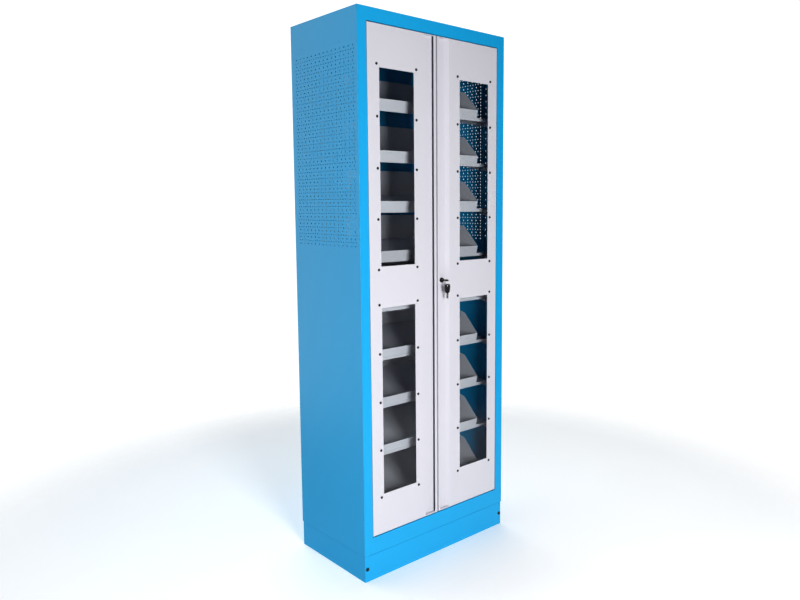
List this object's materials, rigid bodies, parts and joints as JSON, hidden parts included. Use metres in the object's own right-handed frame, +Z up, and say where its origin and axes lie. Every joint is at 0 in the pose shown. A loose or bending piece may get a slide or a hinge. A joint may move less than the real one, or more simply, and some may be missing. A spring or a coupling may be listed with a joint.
{
  "type": "tray cabinet",
  "caption": "Tall steel cabinet on a plinth with two locking doors with clear windows, perforated side walls and sloping shelves that each carry an open parts tray.",
  "frame": {"origin": "centre of the bottom of the whole box, on the floor; the box takes in the keys in front", "axes": "+Z up, +X to the right seen from the front, +Y to the back; the doors face -Y"},
  "size_m": [0.7012, 0.432, 1.95],
  "materials": {
    "blue_paint": "blue fine-textured powder coat",
    "grey_paint": "light grey fine-textured powder coat",
    "clear_sheet": "clear, glossy",
    "black_steel": "black, satin",
    "zinc_steel": "zinc plated, dull",
    "nickel": "nickel plated, bright",
    "black_plastic": "black, satin"
  },
  "bodies": {
    "cabinet": {"side_panel_left": "blue_paint", "side_panel_right": "blue_paint", "stile_left": "blue_paint", "stile_right": "blue_paint", "back_panel": "blue_paint", "top_panel": "blue_paint", "bottom_panel": "blue_paint", "top_rail": "blue_paint", "bottom_rail": "blue_paint", "door_stops": "blue_paint", "plinth": "blue_paint", "shelf_strips": "blue_paint", "wall_rivets": "blue_paint", "shelf_1": "grey_paint", "tray_1": "grey_paint", "shelf_2": "grey_paint", "tray_2": "grey_paint", "shelf_3": "grey_paint", "tray_3": "grey_paint", "shelf_4": "grey_paint", "tray_4": "grey_paint", "shelf_5": "grey_paint", "tray_5": "grey_paint", "shelf_6": "grey_paint", "tray_6": "grey_paint", "shelf_7": "grey_paint", "tray_7": "grey_paint", "shelf_8": "grey_paint", "tray_8": "grey_paint", "shelf_9": "grey_paint", "tray_9": "grey_paint", "plinth_plugs": "black_plastic", "plinth_bolts": "zinc_steel", "shelf_screws": "zinc_steel", "hinge_pins": "zinc_steel"},
    "left_leaf": {"left_door": "grey_paint", "pane_left_lower": "clear_sheet", "pane_left_upper": "clear_sheet", "pane_screws_left": "black_steel", "pane_nuts_left": "zinc_steel", "hinge_bushes_left": "black_plastic"},
    "right_leaf": {"right_door": "grey_paint", "pane_right_lower": "clear_sheet", "pane_right_upper": "clear_sheet", "pane_screws_right": "black_steel", "pane_nuts_right": "zinc_steel", "hinge_bushes_right": "black_plastic", "lock_body": "black_steel", "lock_nut": "zinc_steel", "rod_guides": "zinc_steel"},
    "lock_cylinder": {"lock_plug": "nickel", "lock_cam": "zinc_steel", "cam_screw": "zinc_steel"},
    "upper_bolt": {"upper_rod": "zinc_steel"},
    "lower_bolt": {"lower_rod": "zinc_steel"},
    "key": {"key_bow": "black_plastic", "key_blade": "nickel"},
    "spare_key": {"key_ring": "nickel", "spare_key_bow": "black_plastic", "spare_key_blade": "nickel"}
  },
  "joints": [
    {"name": "left_door_hinge", "type": "hinge", "parent": "cabinet", "child": "left_leaf", "pos_m": [-0.299, -0.177, 1.03], "axis": [0, 0, -1], "range_deg": [0, 110]},
    {"name": "right_door_hinge", "type": "hinge", "parent": "cabinet", "child": "right_leaf", "pos_m": [0.299, -0.177, 1.03], "axis": [0, 0, 1], "range_deg": [0, 110]},
    {"name": "lock_turn", "type": "hinge", "parent": "right_leaf", "child": "lock_cylinder", "pos_m": [0.027, -0.184, 1.035], "axis": [0, 1, 0], "range_deg": [0, 90]},
    {"name": "upper_rod_slide", "type": "slide", "parent": "right_leaf", "child": "upper_bolt", "axis": [0, 0, 1], "range_m": [0, 0.0198]},
    {"name": "lower_rod_slide", "type": "slide", "parent": "right_leaf", "child": "lower_bolt", "axis": [0, 0, -1], "range_m": [0, 0.0198]},
    {"name": "key_slide", "type": "slide", "parent": "lock_cylinder", "child": "key", "axis": [0, -1, 0], "range_m": [0, 0.02]},
    {"name": "spare_key_swing", "type": "hinge", "parent": "key", "child": "spare_key", "pos_m": [0.027, -0.2051, 1.035], "axis": [0, 1, 0], "range_deg": [-15, 15]}
  ],
  "couplings": [
    {"joint": "lock_turn", "follows": "upper_rod_slide", "rad_per_m": 79.33},
    {"joint": "lower_rod_slide", "follows": "upper_rod_slide", "ratio": 1}
  ]
}
